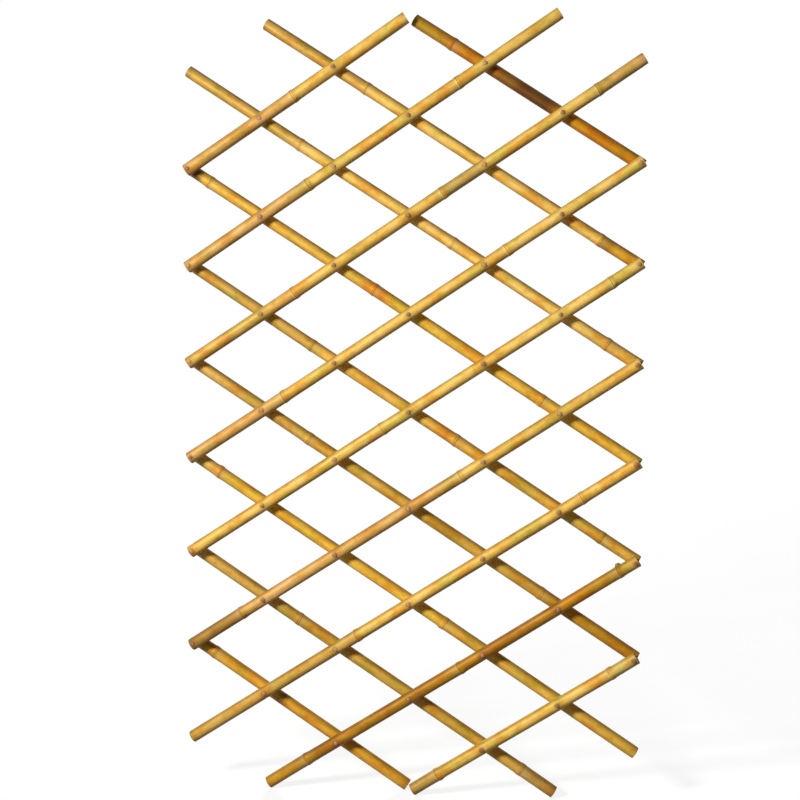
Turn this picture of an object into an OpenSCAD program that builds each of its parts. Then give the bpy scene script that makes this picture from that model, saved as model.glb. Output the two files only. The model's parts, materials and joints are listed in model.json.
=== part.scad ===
// Expanding trellis panel: two layers of crossed bamboo canes, nailed together at every crossing.
// The panel stands upright: X across, Z up, and the front layer faces -Y.
// Its origin is the middle of its box, at the foot.

/* [Lattice] */
// Distance between neighbouring nails along a cane
pitch = 100; // [80:1:140]
// Slope of the canes from the horizontal, as the panel stands
slope = 33; // [15:0.25:60]
// Gap between the front layer and the back layer
layer_gap = 0.5; // [0.3:0.1:1.5]

/* [Canes] */
// Diameter of a cane at its lower end
cane_d = 14; // [11:0.5:20]
// Diameter that a cane loses at each node ring on its way up
cane_step = 0.2; // [0.1:0.05:0.3]
// Diameter of the hollow inside a cane
hollow_d = 6; // [4:0.5:8]
// Thickness of the wall that closes the hollow at a node ring
node_wall = 4; // [2:0.5:8]
// Length of a cane past its outermost crossing, at a side of the panel
nail_margin = 3.5; // [3:0.5:12]
// How far a cane that is cut off at the top or bottom of the panel stops short of the next crossing
tip_short = 4.5; // [2:0.5:12]

/* [Node rings] */
// Length of the swelling at a node ring
swell_l = 8; // [5:0.5:12]
// Height of the swelling above the cane
swell_h = 0.5; // [0.3:0.05:0.8]
// Thickness of the ridge that the leaf sheath left round the swelling
scar_t = 1; // [0.6:0.1:1.5]
// Height of that ridge above the swelling
scar_h = 0.3; // [0.1:0.05:0.4]
// Distance of that ridge below the middle of the swelling
scar_drop = 1.5; // [0.5:0.1:2.5]

/* [Nails] */
// Diameter of a nail
nail_d = 2.2; // [1.6:0.1:3]
// Running gap round a nail in its holes
nail_gap = 0.08; // [0.04:0.01:0.1]
// Diameter of a nail's head
head_d = 4.6; // [3.5:0.1:7]
// Height of the head, with its dome
head_h = 1.1; // [0.8:0.1:2]
// Height of the head's straight rim
rim_h = 0.4; // [0.2:0.1:0.6]
// Depth of the seat that the head has pressed into a front cane
seat_depth = 0.5; // [0.4:0.1:1]
// Gap round the head in its seat
seat_gap = 0.2; // [0.1:0.05:0.5]
// Gap under the head
head_gap = 0.1; // [0.05:0.05:0.2]
// Length of the straight tail that is bent over along a back cane
tail_l = 7; // [4:0.5:14]
// Gap between the tail and the cane under it
tail_gap = 0.1; // [0.05:0.05:0.3]
// Length of the nail's point
point_l = 2.5; // [1:0.5:4]
// Diameter of the blunt end of the point
point_d = 0.6; // [0.3:0.1:1]

/* [Hidden] */
$fn = 64;
// Canes in each layer, and nail spaces along a full cane
CANES = 9;
SPACES = 6;
// Where the lowest node ring of each cane lies, in nail spaces up from the side that the cane rises from,
// and how many spaces apart its rings are: a ring always falls between two nails
FRONT_FIRST_RING = [1.45, 1.65, 1.45, 1.3, 2.65, 0.7, 2.3, 1.6, 3.4];
FRONT_RING_STEP = [2, 2, 2, 3, 3, 3, 3, 2.1, 2.3];
BACK_FIRST_RING = [2.45, 0.5, 0.4, 1.25, 0.45, 1.25, 2.55, 1.5, 5.75];
BACK_RING_STEP = [2, 3.1, 2.05, 2.25, 1.95, 3.15, 3.1, 3.05, 2];
FRONT = 1;
BACK = -1;

cane_r = cane_d / 2;
layer_step = cane_d + layer_gap;
hole_d = nail_d + 2 * nail_gap;
bend_r = nail_d / 2 + tail_gap;
// Underside and top of a nail's head, measured from the axis of the back cane
head_under = -layer_step - cane_r + seat_depth - head_gap;
head_top = head_under - head_h;
// Rear of a nail's bent tail, measured the same way
tail_rear = cane_r + tail_gap + nail_d;
// Both layers are set so that the heads and the tails reach equally far from the origin
back_y = -(head_top + tail_rear) / 2;
front_y = back_y - layer_step;
// Height of the panel's middle crossing over its lowest tips
middle_z = ((CANES - 1) * pitch - tip_short) * sin(slope) + cane_r * cos(slope);

// Places along a cane are counted in nail spaces from column 0, on the side of its lower end.
// The height of such a place, in half diamonds over the middle of the panel
function level(i, column) = column - SPACES / 2 - 2 * (i - (CANES + 1) / 2);
function first_column(i) = max(0, -(CANES - 1) - level(i, 0));
function last_column(i) = min(SPACES, CANES - 1 - level(i, 0));
// The cane of the other layer that crosses cane i there
function partner(i, column) = i - column + SPACES / 2;
function crossed(i, column) = partner(i, column) >= 1 && partner(i, column) <= CANES;
function nailed(i, column) = crossed(i, column) && abs(level(i, column)) < CANES - 1;
function nail_columns(i) = [for (c = [first_column(i):last_column(i)]) if (nailed(i, c)) c];
// The lower and upper ends of a cane, and its node rings, along its axis
function lower_end(i) =
    let (c = first_column(i))
    c * pitch + (c == 0 ? -nail_margin : tip_short);
function upper_end(i) =
    let (c = last_column(i))
    c * pitch + (c == SPACES ? nail_margin : -tip_short);
function ring_places(i, first, step) = [for (c = first; c < last_column(i); c = c + step) c * pitch];
function internode_r(n) = (cane_d - n * cane_step) / 2;

// Outline of a node ring: a low swelling, with a thin ridge round its lower half
module ring_outline(r) {
    arc_r = (swell_h * swell_h + swell_l * swell_l / 4) / (2 * swell_h);
    intersection() {
        translate([r + swell_h - arc_r, 0])
            circle(r = arc_r);
        translate([0, -swell_l / 2])
            square([r + swell_h, swell_l]);
    }
    translate([r + swell_h + scar_h - scar_t / 2, -scar_drop])
        circle(d = scar_t);
}

// Half section of a cane: straight lengths between its node rings, each a little thinner than the one below
module cane_outline(lower, upper, rings) {
    ends = concat([lower], rings, [upper]);
    last = len(ends) - 2;
    difference() {
        union() {
            for (n = [0:last])
                translate([0, ends[n]])
                    square([internode_r(n), ends[n + 1] - ends[n]]);
            for (n = [1:last])
                translate([0, ends[n]])
                    ring_outline(internode_r(n));
        }
        for (n = [0:last]) {
            from = ends[n] + (n == 0 ? -node_wall : node_wall / 2);
            to = ends[n + 1] + (n == last ? node_wall : -node_wall / 2);
            translate([-hollow_d / 2, from])
                square([hollow_d, to - from]);
        }
    }
}

// A cane along X from column 0, drilled for its nails
module cane(i, rings) {
    difference() {
        rotate([0, 90, 0])
            rotate_extrude()
                cane_outline(lower_end(i), upper_end(i), rings);
        for (c = nail_columns(i))
            translate([c * pitch, -cane_d, 0])
                rotate([-90, 0, 0])
                    cylinder(d = hole_d, h = 2 * cane_d);
    }
}

// Sets what is made along X at its place in the front or the back layer
module in_layer(side, i) {
    translate([-side * SPACES / 2 * pitch * cos(slope), side == FRONT ? front_y : back_y,
               middle_z + level(i, 0) * pitch * sin(slope)])
        rotate([0, side == FRONT ? -slope : slope - 180, 0])
            children();
}

module front_cane(i) {
    color([0.87, 0.66, 0.26])
        in_layer(FRONT, i)
            difference() {
                cane(i, ring_places(i, FRONT_FIRST_RING[i - 1], FRONT_RING_STEP[i - 1]));
                for (c = nail_columns(i))
                    translate([c * pitch, seat_depth - cane_r, 0])
                        rotate([90, 0, 0])
                            cylinder(d = head_d + 2 * seat_gap, h = cane_r);
            }
}

module back_cane(i) {
    color([0.78, 0.56, 0.2])
        in_layer(BACK, i)
            cane(i, ring_places(i, BACK_FIRST_RING[i - 1], BACK_RING_STEP[i - 1]));
}

// A nail's head, domed, with its flat underside at the origin and its top up
module nail_head() {
    dome_h = head_h - rim_h;
    dome_r = (dome_h * dome_h + head_d * head_d / 4) / (2 * dome_h);
    rotate_extrude()
        intersection() {
            square([head_d / 2, head_h]);
            translate([0, head_h - dome_r])
                circle(r = dome_r);
        }
}

// A nail through both layers along Y, with its tail bent over towards +X behind the back cane
module nail() {
    translate([0, head_under, 0])
        rotate([90, 0, 0])
            nail_head();
    translate([0, head_under - rim_h, 0])
        rotate([-90, 0, 0])
            cylinder(d = nail_d, h = cane_r - head_under + rim_h);
    translate([bend_r, cane_r, 0])
        rotate([0, 0, 90])
            rotate_extrude(angle = 90)
                translate([bend_r, 0])
                    circle(d = nail_d);
    translate([bend_r, cane_r + bend_r, 0])
        rotate([0, 90, 0]) {
            cylinder(d = nail_d, h = tail_l);
            translate([0, 0, tail_l])
                cylinder(d1 = nail_d, d2 = point_d, h = point_l);
        }
}

// The nails of one back cane, with their tails bent towards the middle of a full cane
module nails_of_back_cane(i) {
    color([0.48, 0.3, 0.2])
        in_layer(BACK, i)
            for (c = nail_columns(i))
                translate([c * pitch, 0, 0])
                    mirror([c < SPACES / 2 ? 0 : 1, 0, 0])
                        nail();
}

for (i = [1:CANES]) {
    front_cane(i);
    back_cane(i);
    nails_of_back_cane(i);
}
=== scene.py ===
"""Looks of an expanding trellis panel: bamboo canes in two crossed layers, nailed at every crossing."""

import json
import math
from collections import namedtuple

import bpy
import numpy as np
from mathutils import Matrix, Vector

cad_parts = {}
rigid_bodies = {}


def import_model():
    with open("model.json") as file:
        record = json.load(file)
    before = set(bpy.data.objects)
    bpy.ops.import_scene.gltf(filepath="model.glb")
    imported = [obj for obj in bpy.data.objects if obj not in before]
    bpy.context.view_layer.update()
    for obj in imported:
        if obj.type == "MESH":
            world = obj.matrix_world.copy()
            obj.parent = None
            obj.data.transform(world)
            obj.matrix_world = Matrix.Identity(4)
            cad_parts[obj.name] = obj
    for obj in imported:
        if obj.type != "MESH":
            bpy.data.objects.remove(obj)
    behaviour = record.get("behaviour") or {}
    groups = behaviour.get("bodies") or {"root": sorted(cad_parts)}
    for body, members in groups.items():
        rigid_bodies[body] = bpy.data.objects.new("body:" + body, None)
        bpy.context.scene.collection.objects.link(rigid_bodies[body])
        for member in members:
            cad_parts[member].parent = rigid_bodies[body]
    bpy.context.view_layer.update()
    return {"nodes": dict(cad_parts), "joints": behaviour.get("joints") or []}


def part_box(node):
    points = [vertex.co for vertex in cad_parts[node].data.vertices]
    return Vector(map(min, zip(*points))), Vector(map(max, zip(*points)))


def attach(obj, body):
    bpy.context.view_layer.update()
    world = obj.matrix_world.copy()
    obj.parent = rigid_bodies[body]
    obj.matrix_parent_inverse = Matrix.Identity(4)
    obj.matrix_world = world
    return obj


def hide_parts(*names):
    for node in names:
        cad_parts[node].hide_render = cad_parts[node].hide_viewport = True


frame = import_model()

# All sizes are in metres and all angles in radians, unless a name or a call says otherwise
MM = 0.001
FULL_TURN = 2 * math.pi
# The way that the front of the panel faces
FRONTWARD = Vector((0, -1, 0))
WHITE = (1.0, 1.0, 1.0, 1.0)
# Seeds of the random draws: each cane adds its number
CANE_SEED = 7
NAIL_SEED = 107
RING_SEED = 207

# Reading a solid cane: length of its ends that is read, and width of a ridge as a share of the lower end's
END_SLICE = 1 * MM
RIDGE_SHARE = 1.06

# Cane mesh: corners round a cane, and distance between sections away from its details
CANE_CORNERS = 48
SECTION_STEP = 8 * MM
# Sections gather round a node ring and round a nail, over this far each way, and most at a ring's middle
RING_REACH = 9 * MM
RING_SECTIONS = 31
RING_GATHER = 1.7
SEAT_REACH = 4.2 * MM
SEAT_SECTIONS = 15
# Places are rounded to a tenth of a millimetre, so that sections don't crowd
PLACE_DIGITS = 4
# An edge stays sharp where the faces beside it turn by more than this
CANE_SHARP = math.radians(38)

# Node ring: the sheath scar is a thin ridge, with a groove and then a swelling above it
SCAR_H = 0.32 * MM
SCAR_W = 0.45 * MM
GROOVE_H = 0.18 * MM
GROOVE_W = 0.45 * MM
GROOVE_UP = 1.0 * MM
SWELL_H = 0.5 * MM
SWELL_W = 2.6 * MM
SWELL_UP = 1.5 * MM
FLARE_H = 0.12 * MM
FLARE_W = 9 * MM
SCAR_WANDER = 0.5 * MM

# Bud above a scar, on alternate sides of the cane, give or take an angle
BUD_H = 0.55 * MM
BUD_W = 1.5 * MM
BUD_UP = 3.2 * MM
BUD_L = 1.9 * MM
BUD_TURN = 0.4
# Shallow channel that runs up from a bud: full from a height up to one share of the length, gone at another
CHANNEL_H = 0.3 * MM
CHANNEL_ANGLE = 0.3
CHANNEL_UP = 3 * BUD_UP
CHANNEL_FULL_SHARE = 0.2
CHANNEL_END_SHARE = 0.6

# Stub of a pruned branch, on the upper edge of one cane, over its topmost node ring
STUB_CANE = "front_cane_8"
STUB_H = 2.4 * MM
STUB_W = 2.3 * MM
STUB_L = 3.6 * MM
STUB_UP = 3.5 * MM
STUB_ANGLE = math.pi / 2
# Share of its width and length that is its flat top, and strength of its stain
STUB_TOP = 0.55
STUB_STAIN = 2.0

# Small faults of a grown cane: out of round, and a kink in the panel's plane at each node ring
OVAL_H = 0.06 * MM
KINK = 0.5 * MM
KINK_SHARES = (0.4, 1.0)

# Sawn ends: rounding of the rim, and depth of the saw marks
END_ROUND = 0.35 * MM
SAW_MARK = 0.12 * MM
# Rings of the mesh inside the hollow's mouth, on the end's face as shares of the wall, and on the rounding
MOUTH_RINGS = (3 * MM, 0.5 * MM)
FACE_RINGS = (0.07, 0.35, 0.65)
ROUND_RING = 0.3
# The hollow behind an end stops this far from the nearest scar, below that scar or above it
HOLLOW_STOP_BELOW = 1.5 * MM
HOLLOW_STOP_ABOVE = 3 * MM

# Seat that a nail's head has pressed into a front cane: flat out to the inner radius, gone at the outer one
SEAT_DEPTH = 0.5 * MM
SEAT_INNER = 2.5 * MM
SEAT_OUTER = 3.1 * MM
# Reach of the stain round a nail's head, and of the weathering at a sawn end
STAIN_REACH = 5.5 * MM
END_STAIN = 3.5 * MM
END_STAIN_SHARE = 0.8
# Points nearer than this to a cane's centre line count as this far from it
LEAST_R = 1 * MM

# Nails: round wire, a low domed head, and a tail bent over behind the back cane
NAIL_CORNERS = 24
NAIL_SHARP = math.radians(40)
NAIL_D = 2.2 * MM
HEAD_D = 4.6 * MM
HEAD_H = 1.1 * MM
RIM_H = 0.4 * MM
TAIL_L = 7 * MM
TAIL_GAP = 0.1 * MM
POINT_L = 2.5 * MM
POINT_D = 0.6 * MM
BEND_SECTIONS = 8
# Rings on the dome, as shares of the head's radius. The rim is a little oval, and bevelled underneath
DOME_RINGS = (0.12, 0.3, 0.5, 0.7, 0.85, 0.95)
RIM_OVAL = 0.02
BEVEL_H_SHARE = 0.3
BEVEL_R_SHARE = 0.94
# Flats that the hammer left on a head: their number, their depth at the middle of the head, and their slopes
HAMMER_MARKS = 3
HAMMER_DEPTH = 0.08 * MM
HAMMER_TILT = 0.16
HAMMER_TILT_SHARES = (0.4, 1.0)
# A nail this near the panel's middle line counts as on it
MIDDLE_REACH = 1 * MM

# Rind tones, as they look in daylight
TONES = {
    "cream": (0.97, 0.80, 0.40),
    "straw": (0.95, 0.77, 0.37),
    "gold": (0.91, 0.72, 0.36),
    "tan": (0.89, 0.69, 0.38),
    "sage": (0.88, 0.77, 0.43),
    "maize": (0.94, 0.74, 0.26),
    "honey": (0.91, 0.71, 0.28),
    "amber": (0.88, 0.65, 0.20),
    "fawn": (0.84, 0.66, 0.30),
    "ochre": (0.85, 0.66, 0.26),
    "olive": (0.82, 0.68, 0.36),
    "russet": (0.70, 0.52, 0.24),
    "moss": (0.76, 0.60, 0.29),
    "copper": (0.80, 0.53, 0.06),
    "bronze": (0.77, 0.56, 0.13),
    "umber": (0.70, 0.48, 0.09),
    "chestnut": (0.55, 0.34, 0.07),
    "brown": (0.38, 0.21, 0.03),
    "rust": (0.90, 0.58, 0.15),
}
# Tone of each cane's lengths between node rings, lower end first
FRONT_TONES = [
    "tan cream",
    "tan straw straw",
    "gold straw cream tan",
    "tan straw cream",
    "straw cream cream",
    "russet tan straw",
    "fawn straw cream",
    "bronze umber umber ochre",
    "moss straw sage",
]
BACK_TONES = [
    "copper bronze",
    "amber straw fawn",
    "cream cream straw fawn",
    "maize maize honey honey",
    "honey honey honey fawn",
    "bronze ochre fawn",
    "honey maize gold",
    "moss ochre fawn",
    "amber ochre",
]
# A tone goes over into the next one over this far each way
TONE_BLEND = 14 * MM
# Stained patches on some canes: from and to, in nail spaces up from the cane's lowest nail, and tone
PATCHES = {
    "front_cane_3": [(3.45, 3.95, "olive")],
    "front_cane_8": [
        (0.1, 0.5, "bronze"),
        (1.4, 1.95, "bronze"),
        (3.05, 3.4, "copper"),
        (3.4, 3.8, "bronze"),
    ],
    "back_cane_1": [(1.08, 1.9, "chestnut"), (1.15, 1.6, "brown")],
    "back_cane_2": [(0.33, 0.48, "umber")],
    "back_cane_4": [(3.32, 3.6, "rust"), (5.85, 6.0, "brown")],
    "back_cane_5": [(2.5, 2.65, "rust")],
    "back_cane_9": [(0.76, 0.82, "brown"), (1.18, 1.24, "rust")],
}
PATCH_BLEND = 5 * MM

# Noises of the rind, in grains to a metre along the cane and across it
RIND_NOISES = {
    "cloud": (45, 90),
    "green": (31, 60),
    "mottle": (120, 180),
    "band": (6, 230),
    "fibre": (10, 1300),
    "fleck": (260, 800),
}
# Tints that multiply the rind's tone: nothing where the noise is at start, and the share where it is at full
RindLayer = namedtuple("RindLayer", "noise start full share tint")
RIND_LAYERS = [
    RindLayer("cloud", 0.49, 0.63, 0.9, (0.92, 0.68, 0.40, 1.0)),
    RindLayer("cloud", 0.47, 0.34, 0.9, (1.12, 1.12, 1.50, 1.0)),
    RindLayer("green", 0.51, 0.64, 0.8, (0.73, 0.87, 0.60, 1.0)),
    RindLayer("mottle", 0.50, 0.66, 0.7, (0.81, 0.80, 0.66, 1.0)),
    RindLayer("band", 0.52, 0.66, 0.4, (0.76, 0.78, 0.55, 1.0)),
    RindLayer("fibre", 0.50, 0.72, 0.5, (0.72, 0.58, 0.36, 1.0)),
]
FLECK_SPAN = (0.68, 0.76)
FLECK_SHARE = 0.6
FLECK_COLOUR = (0.36, 0.22, 0.08)

# Colours at a node ring: each one comes in and goes out over these heights above the scar
RingBand = namedtuple("RingBand", "comes_mm goes_mm share")
BLOOM_BAND = RingBand((-13.0, -2.0), (-1.0, -0.5), 0.2)
BLOOM_COLOUR = (0.85, 0.77, 0.55)
SHADE_BAND = RingBand((0.8, 1.8), (2.0, 8.0), 0.35)
SHADE_TINT = (0.82, 0.58, 0.34, 1.0)
GROOVE_BAND = RingBand((-0.3, 0.4), (0.7, 1.4), 0.45)
GROOVE_COLOUR = (0.48, 0.27, 0.10)
# Least and greatest strength of a ring's shade and groove
RING_STRENGTH = (0.35, 1.2)

# Painted shade: a cane's front and back have a facing of 1, and its sides are painted darker, more and more
# down to the lesser facing
SIDE_SHADE_FACING = (1.0, 0.5)
PAINTED_SIDE_SHADE_TINT = (0.55, 0.52, 0.44, 1.0)
# Stains are uneven: their share follows the clouds of the rind
STAIN_COLOUR = (0.42, 0.27, 0.16)
STAIN_SPAN = (0.35, 0.65)
STAIN_SHARES = (0.2, 0.65)
# Sawn ends: pale wood with the dark dots of its fibre bundles, in dots to a metre
END_COLOUR = (0.74, 0.58, 0.34)
DOT_COLOUR = (0.40, 0.27, 0.13)
DOT_GRAINS = 1500.0
DOT_SPAN = (0.25, 0.5)
# Gloss of the rind follows its clouds, and a sawn end is rougher by this much
RIND_ROUGH_SPAN = (0.35, 0.7)
RIND_ROUGHNESS = (0.45, 0.55)
END_ROUGHER = 0.3
RIND_SPECULAR = 0.45
RIND_SPECULAR_TINT = (1.0, 0.75, 0.35, 1.0)
RIND_BUMP = 0.3
RIND_BUMP_H = 0.08 * MM

# Nail colours: dark steel under thin rust, with pale dust on some nails
STEEL_COLOUR = (0.46, 0.27, 0.17)
STEEL_METALLIC = 0.2
RUST_COLOUR = (0.62, 0.39, 0.24)
RUST_GRAINS = 700
RUST_SPAN = (0.35, 0.62)
DUST_COLOUR = (0.77, 0.56, 0.37)
DUST_GRAINS = 17
DUST_SPAN = (0.42, 0.62)
DUST_SHARES = (0.1, 0.7)
NAIL_ROUGH_SPAN = (0.3, 0.7)
NAIL_ROUGHNESS = (0.45, 0.75)
NAIL_BUMP = 0.4
NAIL_BUMP_H = 0.1 * MM

# Camera, placed from the panel's middle crossing: the view is from the right and from a little above
LENS_MM = 60
VIEW_AZIMUTH = math.radians(7.56)
VIEW_ELEVATION = math.radians(4.89)
VIEW_DISTANCE = 1.499
AIM_OFFSET = Vector((-0.0115, 0.0, 0.0127))

# Lamps: one in front, above and to the left, which the gloss shows, and one behind.
# A lamp lights a surface that faces it to its level, as a share of white, at any distance
Lamp = namedtuple("Lamp", "name place level in_gloss")
LAMPS = [
    Lamp("key_lamp", Vector((-0.64, -0.80, 0.80)), 1.19, True),
    Lamp("back_lamp", Vector((-0.25, 1.50, 0.55)), 1.0, False),
]
LAMP_R = 0.11
# Power of a lamp of level 1
LAMP_POWER = 4 * math.pi ** 2
# Level of the even white room
ROOM_LEVEL = 0.08
# White floor: it gives back this share of the light on it, and its own glow makes up the rest
FLOOR_SIZE = 12.0
FLOOR_SHADE = 0.16
FLOOR_ROUGHNESS = 0.9

# What an attribute of each kind calls its values
ATTRIBUTE_FIELDS = {"FLOAT": "value", "FLOAT_VECTOR": "vector", "FLOAT_COLOR": "color"}

Cane = namedtuple("Cane", "name is_front origin along across lower upper scars radii hollow")
Crossing = namedtuple("Crossing", "point front_place back_place front back")


def linear(colour):
    """A daylight colour as the linear colour that shaders take, with full alpha."""
    return tuple(c / 12.92 if c < 0.04045 else ((c + 0.055) / 1.055) ** 2.4 for c in colour) + (1.0,)


def smooth(value, low, high):
    """0 below low, 1 above high, and a smooth rise between them. It falls where low is the larger."""
    t = np.clip((value - low) / (high - low), 0.0, 1.0)
    return t * t * (3.0 - 2.0 * t)


def bell(value, width):
    """1 at 0, and down to almost nothing at twice the width on either side."""
    return np.exp(-((value / width) ** 2))


def corner_angles(corners):
    """Angles of the corners of a ring."""
    return np.arange(corners) * FULL_TURN / corners


def pivot(name):
    """Where the joint of that name lies at rest."""
    return next(Vector(j["pos_m"]) for j in frame["joints"] if j["name"] == name)


def pivot_on(body):
    """A joint's place on a cane: every joint lies on the centre lines of the two canes that it joins."""
    return next(Vector(j["pos_m"]) for j in frame["joints"] if body in (j["parent"], j["child"]))


def measure_cane(name, along):
    """Reads a cane's centre line, ends, scars and radii from its solid."""
    low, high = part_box(name)
    origin = pivot_on(name)
    origin.y = (low.y + high.y) / 2
    points = np.array([v.co for v in frame["nodes"][name].data.vertices]) - np.array(origin)
    places = points @ np.array(along)
    radii = np.linalg.norm(points - places[:, None] * np.array(along), axis=1)
    lower = float(places.min())
    upper = float(places.max())
    lower_radii = radii[places < lower + END_SLICE]
    upper_radii = radii[places > upper - END_SLICE]
    ridges = np.sort(places[radii > RIDGE_SHARE * lower_radii.max()])
    groups = np.split(ridges, np.where(np.diff(ridges) > RING_REACH)[0] + 1)
    scars = [float(group.mean()) for group in groups if len(group)]
    return Cane(
        name=name,
        is_front=name.startswith("front"),
        origin=origin,
        along=along,
        across=FRONTWARD.cross(along),
        lower=lower,
        upper=upper,
        scars=scars,
        radii=np.linspace(lower_radii.max(), upper_radii.max(), len(scars) + 1),
        hollow=float(lower_radii.min()),
    )


def measure_canes():
    """All canes of both layers. A layer's direction comes from the pivots along its middle cane."""
    front_along = (pivot("back_cane_2_pivot") - pivot("back_cane_8_pivot")).normalized()
    back_along = (pivot("front_cane_2_pivot") - pivot("front_cane_8_pivot")).normalized()
    numbers = range(1, len(FRONT_TONES) + 1)
    fronts = [measure_cane(f"front_cane_{i}", front_along) for i in numbers]
    backs = [measure_cane(f"back_cane_{i}", back_along) for i in numbers]
    return fronts, backs


def find_crossings(fronts, backs):
    """Every place where a front cane and a back cane lie over each other, which is where a nail goes."""
    found = []
    for front in fronts:
        for back in backs:
            away = back.origin - front.origin
            turn = front.along.x * back.along.z - front.along.z * back.along.x
            front_place = (away.x * back.along.z - away.z * back.along.x) / turn
            back_place = (away.x * front.along.z - away.z * front.along.x) / turn
            if front.lower < front_place < front.upper and back.lower < back_place < back.upper:
                point = front.origin + front_place * front.along
                found.append(Crossing(point, front_place, back_place, front, back))
    return found


def skin(rings, first, last):
    """Points and faces of a closed skin over rings of points, from a first point to a last one."""
    ring_count, corners, _ = rings.shape
    points = np.concatenate([rings.reshape(-1, 3), [first, last]])
    ring, corner = np.meshgrid(np.arange(ring_count - 1), np.arange(corners), indexing="ij")
    here = ring * corners + corner
    beside = ring * corners + (corner + 1) % corners
    quads = np.stack([here, beside, beside + corners, here + corners], axis=-1).reshape(-1, 4)
    start = np.arange(corners)
    next_start = (start + 1) % corners
    end = start + (ring_count - 1) * corners
    next_end = next_start + (ring_count - 1) * corners
    first_fan = np.stack([next_start, start, np.full(corners, len(points) - 2)], axis=-1)
    last_fan = np.stack([end, next_end, np.full(corners, len(points) - 1)], axis=-1)
    return points.tolist(), quads.tolist() + first_fan.tolist() + last_fan.tolist()


def new_mesh(name, skins):
    """One mesh of one or more closed skins."""
    points = []
    faces = []
    for skin_points, skin_faces in skins:
        start = len(points)
        points += skin_points
        faces += [[start + corner for corner in face] for face in skin_faces]
    mesh = bpy.data.meshes.new(name)
    mesh.from_pydata(points, [], faces)
    mesh.validate()
    return mesh


def finish_mesh(mesh, sharp_angle):
    """Smooth shading, with an edge kept sharp where its faces turn by more than the angle."""
    mesh.shade_smooth()
    mesh.set_sharp_from_angle(angle=sharp_angle)
    mesh.update()


def set_attribute(mesh, name, kind, values):
    """Gives every point of a mesh a value that its material reads."""
    attribute = mesh.attributes.new(name, kind, "POINT")
    attribute.data.foreach_set(ATTRIBUTE_FIELDS[kind], np.ascontiguousarray(values, np.float32).ravel())


def new_object(name, data):
    """A new object in the scene."""
    added = bpy.data.objects.new(name, data)
    bpy.context.scene.collection.objects.link(added)
    return added


def add_piece(name, mesh, material, body, node):
    """A dressed piece, which rides on its body and replaces a node of the solid part."""
    piece = new_object(name, mesh)
    mesh.materials.append(material)
    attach(piece, body)
    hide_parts(node)


def section_places(cane, nails):
    """Places of the sections along a cane, closer together at its node rings and nails."""
    places = [np.linspace(cane.lower, cane.upper, int((cane.upper - cane.lower) / SECTION_STEP))]
    spread = np.linspace(-1, 1, RING_SECTIONS)
    gathered = np.sign(spread) * np.abs(spread) ** RING_GATHER * RING_REACH
    for scar in cane.scars:
        places.append(scar + GROOVE_UP / 2 + gathered)
    for nail in nails:
        places.append(nail + np.linspace(-SEAT_REACH, SEAT_REACH, SEAT_SECTIONS))
    places = np.unique(np.concatenate(places).round(PLACE_DIGITS))
    return places[(places > cane.lower + END_ROUND) & (places < cane.upper - END_ROUND)]


def ring_relief(above):
    """Height of a node ring over the cane, by the distance above its scar."""
    return (
        SCAR_H * bell(above, SCAR_W)
        - GROOVE_H * bell(above - GROOVE_UP, GROOVE_W)
        + SWELL_H * bell(above - SWELL_UP, SWELL_W)
        + FLARE_H * bell(above, FLARE_W)
    )


def bud_relief(above, angle, radius, length):
    """Height of the bud over a scar, less the channel that runs up from it. The bud is at angle 0."""
    turn = np.angle(np.exp(1j * angle))
    bud = BUD_H * bell(turn * radius, BUD_W) * bell(above - BUD_UP, BUD_L)
    channel_start = smooth(above, BUD_UP, CHANNEL_UP)
    channel_end = smooth(above, CHANNEL_END_SHARE * length, CHANNEL_FULL_SHARE * length)
    return bud - CHANNEL_H * bell(turn, CHANNEL_ANGLE) * (channel_start * channel_end)


def stub_share(cane, places, angles):
    """1 on top of the branch stub, and 0 beside it."""
    aside = (angles - STUB_ANGLE) * cane.radii[-1] / STUB_W
    above = (places - cane.scars[-1] - STUB_UP) / STUB_L
    return smooth(np.hypot(aside, above), 1.0, STUB_TOP)


def cane_radius(cane, places, angles, rng):
    """Distance of the rind from the centre line, at every place and angle."""
    radius = np.full((len(places), len(angles)), cane.radii[0])
    oval_turn = rng.uniform(0, FULL_TURN)
    radius += OVAL_H * np.cos(2 * angles + oval_turn)
    bud_angle = rng.uniform(0, FULL_TURN)
    ends = cane.scars + [cane.upper]
    for n, scar in enumerate(cane.scars):
        wander = SCAR_WANDER * np.sin(angles + rng.uniform(0, FULL_TURN))
        above = places[:, None] - scar - wander
        step = cane.radii[n + 1] - cane.radii[n]
        radius += step * smooth(above, -SWELL_W, SWELL_W + SWELL_UP)
        radius += ring_relief(above)
        radius += bud_relief(above, angles - bud_angle, cane.radii[n], ends[n + 1] - scar)
        bud_angle += math.pi + rng.uniform(-BUD_TURN, BUD_TURN)
    if cane.name == STUB_CANE:
        radius += STUB_H * stub_share(cane, places[:, None], angles)
    return radius


def cane_kinks(cane, places, rng):
    """Offset of the centre line in the panel's plane: straight lengths that meet at small kinks."""
    knots = [cane.lower] + cane.scars + [cane.upper]
    side = rng.choice([-1, 1])
    offsets = [0.0]
    for n in range(len(cane.scars)):
        offsets.append(side * (-1) ** n * KINK * rng.uniform(*KINK_SHARES))
    offsets.append(0.0)
    return np.interp(places, knots, offsets)


def crown_level(forward):
    """Usual height of the crown along a cane: the middle value of each section's highest point."""
    return np.median(forward.max(axis=1))


def press_seats(forward, sideways, places, nails):
    """Flattens the front of a cane under each nail's head. Returns the new forward distances."""
    for nail in nails:
        distance = np.hypot(places[:, None] - nail, sideways)
        proud = np.maximum(forward - (crown_level(forward) - SEAT_DEPTH), 0.0)
        forward = forward - smooth(distance, SEAT_OUTER, SEAT_INNER) * proud
    return forward


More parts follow.
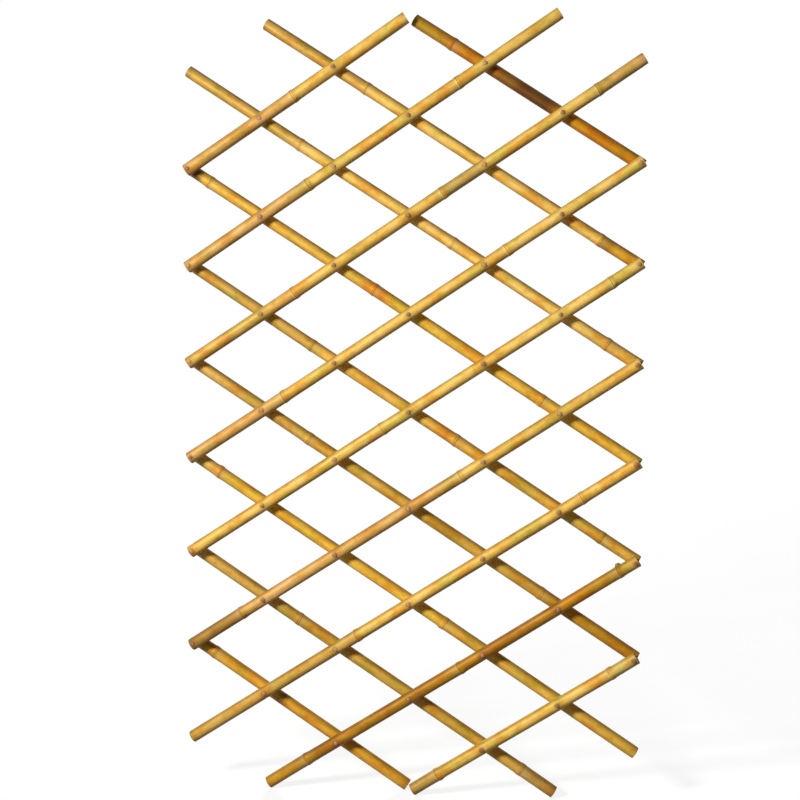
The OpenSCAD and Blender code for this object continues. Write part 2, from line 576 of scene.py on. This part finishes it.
def rind_rings(cane, nails, angles, rng):
    """Rings of the rind between the sawn ends, as distances along, forward and sideways."""
    places = section_places(cane, nails)
    radius = cane_radius(cane, places, angles, rng)
    forward = radius * np.cos(angles)
    sideways = radius * np.sin(angles) + cane_kinks(cane, places, rng)[:, None]
    if cane.is_front:
        forward = press_seats(forward, sideways, places, nails)
    return np.stack([np.broadcast_to(places[:, None], forward.shape), forward, sideways], axis=-1)


def end_profile(radius, hollow, depth):
    """Rings of a sawn end from the hollow's floor out to the rind, as (distance inside the end, radius)."""
    wall = radius - hollow
    corner = ROUND_RING * END_ROUND
    inner = [(inside, hollow) for inside in (depth, depth / 2, *MOUTH_RINGS)]
    face = [(0.0, hollow + share * wall) for share in FACE_RINGS]
    rim = [(0.0, radius - END_ROUND), (corner, radius - corner)]
    return inner + face + rim


def end_rings(end, inward, profile, angles, rng):
    """Rings of one sawn end, along, forward and sideways, with light saw marks on its face."""
    rings = []
    for depth, radius in profile:
        place = np.full(CANE_CORNERS, end + inward * depth)
        if depth == 0.0:
            place += inward * SAW_MARK * rng.uniform(0, 1, CANE_CORNERS)
        rings.append(np.stack([place, radius * np.cos(angles), radius * np.sin(angles)], axis=-1))
    return np.array(rings)


def cane_mesh(cane, nails, tones, index):
    """One cane: rind with its node rings, sawn ends and the hollow behind each end."""
    rng = np.random.default_rng(CANE_SEED + index)
    angles = corner_angles(CANE_CORNERS)
    rind = rind_rings(cane, nails, angles, rng)
    lower_depth = (cane.scars[0] - HOLLOW_STOP_BELOW) - cane.lower
    upper_depth = cane.upper - (cane.scars[-1] + HOLLOW_STOP_ABOVE)
    lower_profile = end_profile(cane.radii[0], cane.hollow, lower_depth)
    upper_profile = end_profile(cane.radii[-1], cane.hollow, upper_depth)
    lower_end = end_rings(cane.lower, 1, lower_profile, angles, rng)
    upper_end = end_rings(cane.upper, -1, upper_profile, angles, rng)
    local = np.concatenate([lower_end, rind, upper_end[::-1]])

    axes = np.array([cane.along, FRONTWARD, cane.across])
    world = local @ axes + np.array(cane.origin)
    first = np.array(cane.origin + (cane.lower + lower_depth) * cane.along)
    last = np.array(cane.origin + (cane.upper - upper_depth) * cane.along)
    mesh = new_mesh(cane.name, [skin(world, first, last)])
    add_cane_attributes(mesh, cane, nails, tones, local, len(lower_end), index)
    finish_mesh(mesh, CANE_SHARP)
    return mesh


def add_cane_attributes(mesh, cane, nails, tones, local, end_count, index):
    """What the bamboo material reads at each point: its place, a metre further on for each next cane, height
    above the nearest scar, strength of that ring, cut ends, stains, how far the rind faces front or back,
    which sets the painted shade on its sides, and tone."""
    poles = np.array([local[0].mean(axis=0), local[-1].mean(axis=0)])
    points = np.concatenate([local.reshape(-1, 3), poles])
    places = points[:, 0]
    set_attribute(mesh, "place", "FLOAT_VECTOR", points + np.array([index, 0.0, 0.0]))
    scars = np.array(cane.scars)
    nearest = np.abs(places[:, None] - scars).argmin(axis=1)
    set_attribute(mesh, "above_scar_mm", "FLOAT", (places - scars[nearest]) / MM)
    strengths = np.random.default_rng(RING_SEED + index).uniform(*RING_STRENGTH, len(scars))
    set_attribute(mesh, "ring_strength", "FLOAT", strengths[nearest])
    cut = np.ones((len(local), CANE_CORNERS))
    cut[end_count - 1:len(local) - end_count + 1] = 0.0
    set_attribute(mesh, "cut", "FLOAT", np.concatenate([cut.ravel(), [1.0, 1.0]]))
    set_attribute(mesh, "stain", "FLOAT", stains(cane, nails, points))
    outward = np.maximum(np.hypot(points[:, 1], points[:, 2]), LEAST_R)
    # How far the rind faces front or back: the material paints shade where it faces sideways
    set_attribute(mesh, "facing", "FLOAT", np.abs(points[:, 1]) / outward)
    set_attribute(mesh, "tone", "FLOAT_COLOR", tones_along(cane, nails, tones.split(), places))


def stains(cane, nails, points):
    """Strength of brown stain: round the nails' heads, at the sawn ends and on a branch stub."""
    places = points[:, 0]
    to_end = np.minimum(places - cane.lower, cane.upper - places)
    stain = END_STAIN_SHARE * smooth(to_end, END_STAIN, 0.0)
    if cane.is_front:
        for nail in nails:
            distance = np.hypot(places - nail, points[:, 2])
            stain = np.maximum(stain, smooth(distance, STAIN_REACH, SEAT_INNER) * (points[:, 1] > 0))
    if cane.name == STUB_CANE:
        angles = np.arctan2(points[:, 2], points[:, 1])
        stain = np.maximum(stain, STUB_STAIN * stub_share(cane, places, angles))
    return stain


def lay_over(colours, tone, share):
    """Lays a tone over colours, by its share at each of them."""
    share = share[:, None]
    return colours * (1 - share) + np.array(linear(TONES[tone])) * share


def tones_along(cane, nails, tones, places):
    """Colour of the rind: each length has its own tone, and patches lie over them."""
    colours = np.tile(linear(TONES[tones[0]]), (len(places), 1))
    for scar, tone in zip(cane.scars, tones[1:]):
        colours = lay_over(colours, tone, smooth(places, scar - TONE_BLEND, scar + TONE_BLEND))
    space = nails[1] - nails[0]
    for start, end, tone in PATCHES.get(cane.name, []):
        low = nails[0] + start * space
        high = nails[0] + end * space
        rise = smooth(places, low - PATCH_BLEND, low + PATCH_BLEND)
        fall = smooth(places, high + PATCH_BLEND, high - PATCH_BLEND)
        colours = lay_over(colours, tone, rise * fall)
    return colours


class Nodes:
    """Adds nodes to a tree. What goes into a node is a plain value or another node's output."""

    def __init__(self, tree):
        self.tree = tree

    def feed(self, node, inputs):
        """Sets inputs of a node, or links them, by their names or numbers."""
        for key, value in inputs.items():
            socket = node.inputs[key]
            if isinstance(value, bpy.types.NodeSocket):
                self.tree.links.new(value, socket)
            else:
                socket.default_value = value

    def add(self, kind, inputs, **settings):
        """A new node."""
        node = self.tree.nodes.new(kind)
        for name, value in settings.items():
            setattr(node, name, value)
        self.feed(node, inputs)
        return node

    def attribute(self, name, output="Fac"):
        """What set_attribute gave each point."""
        return self.add("ShaderNodeAttribute", {}, attribute_name=name).outputs[output]

    def noise(self, place, along, across, detail=4.0):
        """Noise with this many grains to a metre along the cane, and across it."""
        inputs = {0: place, 1: (along, across, across)}
        grains = self.add("ShaderNodeVectorMath", inputs, operation="MULTIPLY").outputs["Vector"]
        inputs = {"Vector": grains, "Scale": 1.0, "Detail": detail}
        return self.add("ShaderNodeTexNoise", inputs).outputs["Fac"]

    def distance(self, a, b):
        """Distance from one point to another."""
        return self.add("ShaderNodeVectorMath", {0: a, 1: b}, operation="DISTANCE").outputs["Value"]

    def span(self, value, low, high, start=0.0, end=1.0):
        """Maps low to start and high to end, and holds those values outside."""
        inputs = {"Value": value, "From Min": low, "From Max": high, "To Min": start, "To Max": end}
        return self.add("ShaderNodeMapRange", inputs).outputs["Result"]

    def calculate(self, operation, a, b):
        """Result of a calculation with two numbers."""
        return self.add("ShaderNodeMath", {0: a, 1: b}, operation=operation).outputs["Value"]

    def times(self, a, b):
        """One number times another."""
        return self.calculate("MULTIPLY", a, b)

    def plus(self, a, b):
        """One number plus another."""
        return self.calculate("ADD", a, b)

    def mix(self, share, under, over, blend="MIX"):
        """Lays a colour over another one, by its share: inputs 6 and 7 of the node, and its output 2."""
        inputs = {0: share, 6: under, 7: over}
        return self.add("ShaderNodeMix", inputs, data_type="RGBA", blend_type=blend).outputs[2]

    def bump(self, height, strength, distance):
        """Normal of a surface with this fine relief."""
        inputs = {"Height": height, "Strength": strength, "Distance": distance}
        return self.add("ShaderNodeBump", inputs).outputs["Normal"]


def new_material(name):
    """A material, its nodes and its main shader."""
    material = bpy.data.materials.new(name)
    material.use_nodes = True
    return material, Nodes(material.node_tree), material.node_tree.nodes["Principled BSDF"]


def rind_colour(nodes, noises):
    """Rind between node rings: its own tone, clouded, streaked along the fibres and flecked."""
    colour = nodes.attribute("tone", "Color")
    for layer in RIND_LAYERS:
        share = nodes.span(noises[layer.noise], layer.start, layer.full, 0.0, layer.share)
        colour = nodes.mix(share, colour, layer.tint, "MULTIPLY")
    flecks = nodes.span(noises["fleck"], *FLECK_SPAN, 0.0, FLECK_SHARE)
    return nodes.mix(flecks, colour, linear(FLECK_COLOUR))


def ring_band(nodes, above, band):
    """Share of a colour at a node ring, by the height above its scar."""
    comes = nodes.span(above, *band.comes_mm, 0.0, band.share)
    goes = nodes.span(above, *band.goes_mm, 1.0, 0.0)
    return nodes.times(comes, goes)


def ring_colour(nodes, colour):
    """Lays a node ring's colours over the rind: waxy bloom below it, a brown shade above, a brown groove."""
    above = nodes.attribute("above_scar_mm")
    strength = nodes.attribute("ring_strength")
    bloom = ring_band(nodes, above, BLOOM_BAND)
    shade = nodes.times(ring_band(nodes, above, SHADE_BAND), strength)
    groove = nodes.times(ring_band(nodes, above, GROOVE_BAND), strength)
    colour = nodes.mix(bloom, colour, linear(BLOOM_COLOUR))
    colour = nodes.mix(shade, colour, SHADE_TINT, "MULTIPLY")
    return nodes.mix(groove, colour, linear(GROOVE_COLOUR))


def stain_colour(nodes, colour, cloud):
    """Lays brown stains over the rind."""
    uneven = nodes.span(cloud, *STAIN_SPAN, *STAIN_SHARES)
    return nodes.mix(nodes.times(nodes.attribute("stain"), uneven), colour, linear(STAIN_COLOUR))


def end_colour(nodes, place):
    """Sawn end: pale wood with the dark dots of its fibre bundles."""
    inputs = {"Vector": place, "Scale": DOT_GRAINS}
    dots = nodes.add("ShaderNodeTexVoronoi", inputs).outputs["Distance"]
    return nodes.mix(nodes.span(dots, *DOT_SPAN), linear(DOT_COLOUR), linear(END_COLOUR))


def bamboo_material():
    """Bamboo: a golden rind with a satin gloss and painted shade on the sides of each cane, and rougher sawn
    ends.
    """
    material, nodes, shader = new_material("bamboo")
    place = nodes.attribute("place", "Vector")
    cut = nodes.attribute("cut")
    noises = {name: nodes.noise(place, *grains) for name, grains in RIND_NOISES.items()}
    colour = rind_colour(nodes, noises)
    colour = ring_colour(nodes, colour)
    # Painted shade: the rind's colour is darker where it faces sideways, away from the panel's front and
    # back
    painted_side_shade = nodes.span(nodes.attribute("facing"), *SIDE_SHADE_FACING)
    colour = nodes.mix(painted_side_shade, colour, PAINTED_SIDE_SHADE_TINT, "MULTIPLY")
    colour = stain_colour(nodes, colour, noises["cloud"])
    rind_rough = nodes.span(noises["cloud"], *RIND_ROUGH_SPAN, *RIND_ROUGHNESS)
    nodes.feed(shader, {
        "Base Color": nodes.mix(cut, colour, end_colour(nodes, place)),
        "Roughness": nodes.plus(rind_rough, nodes.times(cut, END_ROUGHER)),
        "Specular IOR Level": RIND_SPECULAR,
        "Specular Tint": RIND_SPECULAR_TINT,
        "Normal": nodes.bump(noises["fibre"], RIND_BUMP, RIND_BUMP_H),
    })
    return material


def nail_material():
    """Browned steel: dark metal under thin rust, and dust."""
    material, nodes, shader = new_material("browned_steel")
    place = nodes.attribute("place", "Vector")
    rust = nodes.noise(place, RUST_GRAINS, RUST_GRAINS)
    dust = nodes.noise(place, DUST_GRAINS, DUST_GRAINS, detail=0.0)
    rusty = nodes.mix(nodes.span(rust, *RUST_SPAN), linear(STEEL_COLOUR), linear(RUST_COLOUR))
    dust_share = nodes.span(dust, *DUST_SPAN, *DUST_SHARES)
    nodes.feed(shader, {
        "Base Color": nodes.mix(dust_share, rusty, linear(DUST_COLOUR)),
        "Metallic": nodes.span(rust, *RUST_SPAN, STEEL_METALLIC, 0.0),
        "Roughness": nodes.span(rust, *NAIL_ROUGH_SPAN, *NAIL_ROUGHNESS),
        "Normal": nodes.bump(rust, NAIL_BUMP, NAIL_BUMP_H),
    })
    return material


def hammer_marks(rng):
    """Flats on a nail's head, each as the angle that it falls away to, and its slope."""
    marks = []
    for _ in range(HAMMER_MARKS):
        angle = rng.uniform(0, FULL_TURN)
        marks.append((angle, HAMMER_TILT * rng.uniform(*HAMMER_TILT_SHARES)))
    return marks


def head_rings(angles, rng):
    """Rings of a nail's head and neck, as heights over its underside and distances from the nail's axis."""
    marks = hammer_marks(rng)
    rings = []
    for share in DOME_RINGS:
        radius = share * HEAD_D / 2
        height = np.full(NAIL_CORNERS, RIM_H + (HEAD_H - RIM_H) * (1 - share ** 2))
        for mark_angle, tilt in marks:
            flat = HEAD_H - HAMMER_DEPTH - tilt * radius * np.cos(angles - mark_angle)
            height = np.minimum(height, flat)
        rings.append((height, np.full(NAIL_CORNERS, radius)))
    rim_r = HEAD_D / 2 * (1 + RIM_OVAL * np.sin(2 * angles + rng.uniform(0, FULL_TURN)))
    rings.append((np.full(NAIL_CORNERS, RIM_H), rim_r))
    rings.append((np.full(NAIL_CORNERS, BEVEL_H_SHARE * RIM_H), rim_r))
    rings.append((np.zeros(NAIL_CORNERS), BEVEL_R_SHARE * rim_r))
    rings.append((np.zeros(NAIL_CORNERS), np.full(NAIL_CORNERS, NAIL_D / 2)))
    return rings


def round_ring(middle, start, side, radius, angles):
    """A ring of points round its middle, which begins towards start and turns towards side."""
    return middle + radius * (np.cos(angles)[:, None] * start + np.sin(angles)[:, None] * side)


def nail_rings(crossing, head_y, bend_y, rng):
    """All rings of one nail: head, straight shank, bend and tail, with its two end points. The tail lies
    along the back cane, towards the panel's middle line or, from a nail on that line, down the cane."""
    rises = crossing.point.x > MIDDLE_REACH
    tail = np.array(crossing.back.along if rises else -crossing.back.along)
    inward = -np.array(FRONTWARD)
    side = np.cross(inward, tail)
    centre = np.array(crossing.point)
    centre[1] = 0.0
    angles = corner_angles(NAIL_CORNERS)
    rings = []
    for height, radius in head_rings(angles, rng):
        middle = centre + (head_y - height)[:, None] * inward
        rings.append(round_ring(middle, tail, side, radius[:, None], angles))
    bend_r = NAIL_D / 2 + TAIL_GAP
    for turn in np.linspace(0, math.pi / 2, BEND_SECTIONS):
        middle = centre + bend_y * inward + bend_r * (math.sin(turn) * inward + (1 - math.cos(turn)) * tail)
        outward = math.sin(turn) * inward - math.cos(turn) * tail
        rings.append(round_ring(middle, -outward, side, NAIL_D / 2, angles))
    start = centre + (bend_y + bend_r) * inward + bend_r * tail
    for length, diameter in ((TAIL_L / 2, NAIL_D), (TAIL_L, NAIL_D), (TAIL_L + POINT_L, POINT_D)):
        rings.append(round_ring(start + length * tail, -inward, side, diameter / 2, angles))
    first = centre + (head_y - HEAD_H + HAMMER_DEPTH) * inward
    last = start + (TAIL_L + POINT_L + POINT_D / 4) * tail
    return np.array(rings), first, last


def add_nails(cane, crossings, material, index):
    """The nails of one back cane, as one piece of separate solids."""
    rng = np.random.default_rng(NAIL_SEED + index)
    node = f"nails_of_{cane.name}"
    low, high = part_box(node)
    head_y = low.y + HEAD_H
    bend_y = high.y - NAIL_D - TAIL_GAP
    mesh = new_mesh(node, [skin(*nail_rings(crossing, head_y, bend_y, rng)) for crossing in crossings])
    set_attribute(mesh, "place", "FLOAT_VECTOR", [v.co for v in mesh.vertices])
    finish_mesh(mesh, NAIL_SHARP)
    add_piece(f"{node}_worn", mesh, material, cane.name, node)


def add_canes(fronts, backs, crossings):
    """Every cane with its rind, and the nails that ride on the back canes."""
    bamboo = bamboo_material()
    steel = nail_material()
    for index, (cane, tones) in enumerate(zip(fronts + backs, FRONT_TONES + BACK_TONES)):
        if cane.is_front:
            nails = sorted(c.front_place for c in crossings if c.front.name == cane.name)
        else:
            nails = sorted(c.back_place for c in crossings if c.back.name == cane.name)
        mesh = cane_mesh(cane, nails, tones, index)
        add_piece(f"{cane.name}_rind", mesh, bamboo, cane.name, cane.name)
    for index, cane in enumerate(backs):
        add_nails(cane, [c for c in crossings if c.back.name == cane.name], steel, index)


def sees_background(nodes):
    """1 for the rays that show the background: from the camera, in gloss and through glass."""
    path = nodes.add("ShaderNodeLightPath", {})
    seen = nodes.plus(path.outputs["Is Camera Ray"], path.outputs["Is Glossy Ray"])
    seen = nodes.plus(seen, path.outputs["Is Transmission Ray"])
    return nodes.span(seen, 0.0, 1.0)


def floor_light(nodes):
    """Light that the room and the lamps give the floor where nothing shades it, as a share of white."""
    place = nodes.add("ShaderNodeNewGeometry", {}).outputs["Position"]
    light = ROOM_LEVEL
    for lamp in LAMPS:
        away = nodes.distance(place, lamp.place)
        slant = nodes.calculate("DIVIDE", lamp.level * lamp.place.z, away)
        light = nodes.plus(slant, light)
    return light


def floor_material():
    """Plain white: its own glow makes up what the light leaves short of white, so shadows stay."""
    material, nodes, shader = new_material("floor")
    nodes.feed(shader, {
        "Base Color": (FLOOR_SHADE, FLOOR_SHADE, FLOOR_SHADE, 1.0),
        "Roughness": FLOOR_ROUGHNESS,
        "Specular IOR Level": 0.0,
    })
    missing = nodes.plus(1.0, nodes.times(floor_light(nodes), -FLOOR_SHADE))
    glow = nodes.times(sees_background(nodes), missing)
    white = nodes.add("ShaderNodeEmission", {"Color": WHITE, "Strength": glow})
    both = nodes.add("ShaderNodeAddShader", {0: shader.outputs[0], 1: white.outputs[0]})
    nodes.feed(nodes.tree.nodes["Material Output"], {"Surface": both.outputs[0]})
    return material


def add_floor():
    """A wide flat floor under the panel."""
    half = FLOOR_SIZE / 2
    corners = [(-half, -half, 0), (half, -half, 0), (half, half, 0), (-half, half, 0)]
    mesh = bpy.data.meshes.new("floor")
    mesh.from_pydata(corners, [], [(0, 1, 2, 3)])
    mesh.materials.append(floor_material())
    floor = new_object("floor", mesh)


def add_room():
    """An even white room: it shows as white, and lights the panel softly."""
    world = bpy.data.worlds.new("room")
    bpy.context.scene.world = world
    world.use_nodes = True
    nodes = Nodes(world.node_tree)
    level = nodes.span(sees_background(nodes), 0.0, 1.0, ROOM_LEVEL, 1.0)
    nodes.feed(world.node_tree.nodes["Background"], {"Color": WHITE, "Strength": level})


def add_lamp(lamp):
    """A soft round lamp, whose light doesn't fall off with distance, as from a wide screen."""
    data = bpy.data.lights.new(lamp.name, "POINT")
    data.energy = LAMP_POWER * lamp.level
    data.shadow_soft_size = LAMP_R
    data.use_nodes = True
    nodes = Nodes(data.node_tree)
    falloff = nodes.add("ShaderNodeLightFalloff", {"Strength": 1.0})
    nodes.feed(data.node_tree.nodes["Emission"], {"Strength": falloff.outputs["Constant"]})
    placed = new_object(lamp.name, data)
    placed.visible_camera = False
    placed.visible_glossy = lamp.in_gloss
    placed.location = lamp.place


def add_camera(middle):
    """The camera, which aims a little to the side of the panel's middle and above it."""
    data = bpy.data.cameras.new("camera")
    data.lens = LENS_MM
    camera = new_object("camera", data)
    away = Vector((
        math.sin(VIEW_AZIMUTH) * math.cos(VIEW_ELEVATION),
        -math.cos(VIEW_AZIMUTH) * math.cos(VIEW_ELEVATION),
        math.sin(VIEW_ELEVATION),
    ))
    camera.location = middle + VIEW_DISTANCE * away
    forward = (middle + AIM_OFFSET - camera.location).normalized()
    camera.rotation_euler = forward.to_track_quat("-Z", "Y").to_euler()
    bpy.context.scene.camera = camera


front_canes, back_canes = measure_canes()
add_canes(front_canes, back_canes, find_crossings(front_canes, back_canes))
add_floor()
add_room()
for lamp in LAMPS:
    add_lamp(lamp)
add_camera(pivot("lattice_fold"))
bpy.context.scene.view_settings.view_transform = "Standard"
